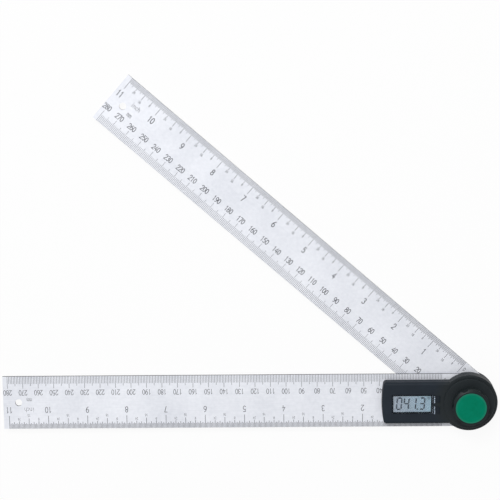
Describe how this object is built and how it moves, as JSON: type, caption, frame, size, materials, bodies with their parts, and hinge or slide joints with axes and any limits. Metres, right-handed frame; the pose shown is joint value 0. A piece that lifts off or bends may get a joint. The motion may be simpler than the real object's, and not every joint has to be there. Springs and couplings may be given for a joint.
{
  "type": "digital angle finder",
  "caption": "Digital angle finder: a front and a rear steel rule arm turn on one pivot, with a battery display case, keys and a screw lock knob.",
  "frame": {"origin": "on the pivot axis, where it meets the flat rear face of the rear hub", "axes": "+Z out of the front, through the lock knob; -X along the front arm from the pivot to its tip; +Y in the plane of the arms, towards the rear arm at rest"},
  "size_m": [0.3182, 0.2293, 0.0261],
  "materials": {
    "steel_rule": "satin, fine lengthwise brushing, printed scales",
    "black_case": "fine satin moulding",
    "black_knob": "satin moulding, edges slightly polished by use",
    "key_rubber": "soft matt",
    "window": "clear, polished",
    "display": "grey reflective liquid crystal panel",
    "display_strip": "soft conductive layers",
    "board": "green solder mask",
    "chip": "black epoxy",
    "spring_metal": "bright spring metal",
    "cell_metal": "bright nickel finish",
    "bolt_steel": "turned, zinc finish",
    "screw_steel": "black zinc",
    "brass": "turned",
    "low_friction": "smooth white",
    "badge": "bare green disc under a clear skin"
  },
  "bodies": {
    "front_arm": {"front_blade": "steel_rule", "case_shell": "black_case", "case_screws": "screw_steel", "lcd_window": "window", "lcd_panel": "display", "lcd_strips": "display_strip", "main_board": "board", "control_chip": "chip", "switch_domes": "spring_metal", "coin_cell": "cell_metal", "battery_tray": "black_case", "battery_contact_minus": "spring_metal", "battery_contact_plus": "spring_metal"},
    "rear_arm": {"rear_blade": "steel_rule", "rear_hub": "black_case", "hub_screws": "screw_steel", "pivot_bolt": "bolt_steel", "pivot_bush": "brass", "friction_washer": "low_friction", "rotor_disc": "board"},
    "knob_washer": {"thrust_washer": "bolt_steel"},
    "lock_knob": {"lock_knob": "black_knob", "knob_insert": "brass", "knob_badge": "badge"},
    "power_button": {"power_button": "key_rubber"},
    "zero_button": {"zero_button": "key_rubber"},
    "battery_cover": {"battery_cover": "black_case"}
  },
  "joints": [
    {"name": "arm_hinge", "type": "hinge", "parent": "front_arm", "child": "rear_arm", "pos_m": [0, 0, 0.0046], "axis": [0, 0, 1], "continuous": true},
    {"name": "knob_lift", "type": "slide", "parent": "front_arm", "child": "knob_washer", "axis": [0, 0, 1], "range_m": [0, 0.001]},
    {"name": "knob_turn", "type": "hinge", "parent": "knob_washer", "child": "lock_knob", "pos_m": [0, 0, 0.0167], "axis": [0, 0, 1], "range_deg": [0, 360]},
    {"name": "power_press", "type": "slide", "parent": "front_arm", "child": "power_button", "axis": [0, 0, -1], "range_m": [0, 0.0004], "stiffness_N_per_m": 600, "springref_m": -0.001},
    {"name": "zero_press", "type": "slide", "parent": "front_arm", "child": "zero_button", "axis": [0, 0, -1], "range_m": [0, 0.0004], "stiffness_N_per_m": 600, "springref_m": -0.001},
    {"name": "battery_cover_turn", "type": "hinge", "parent": "front_arm", "child": "battery_cover", "pos_m": [-0.0382, 0, 0.005], "axis": [0, 0, -1], "range_deg": [0, 45]}
  ],
  "couplings": [
    {"joint": "knob_lift", "follows": "knob_turn", "m_per_rad": 0.000159}
  ]
}
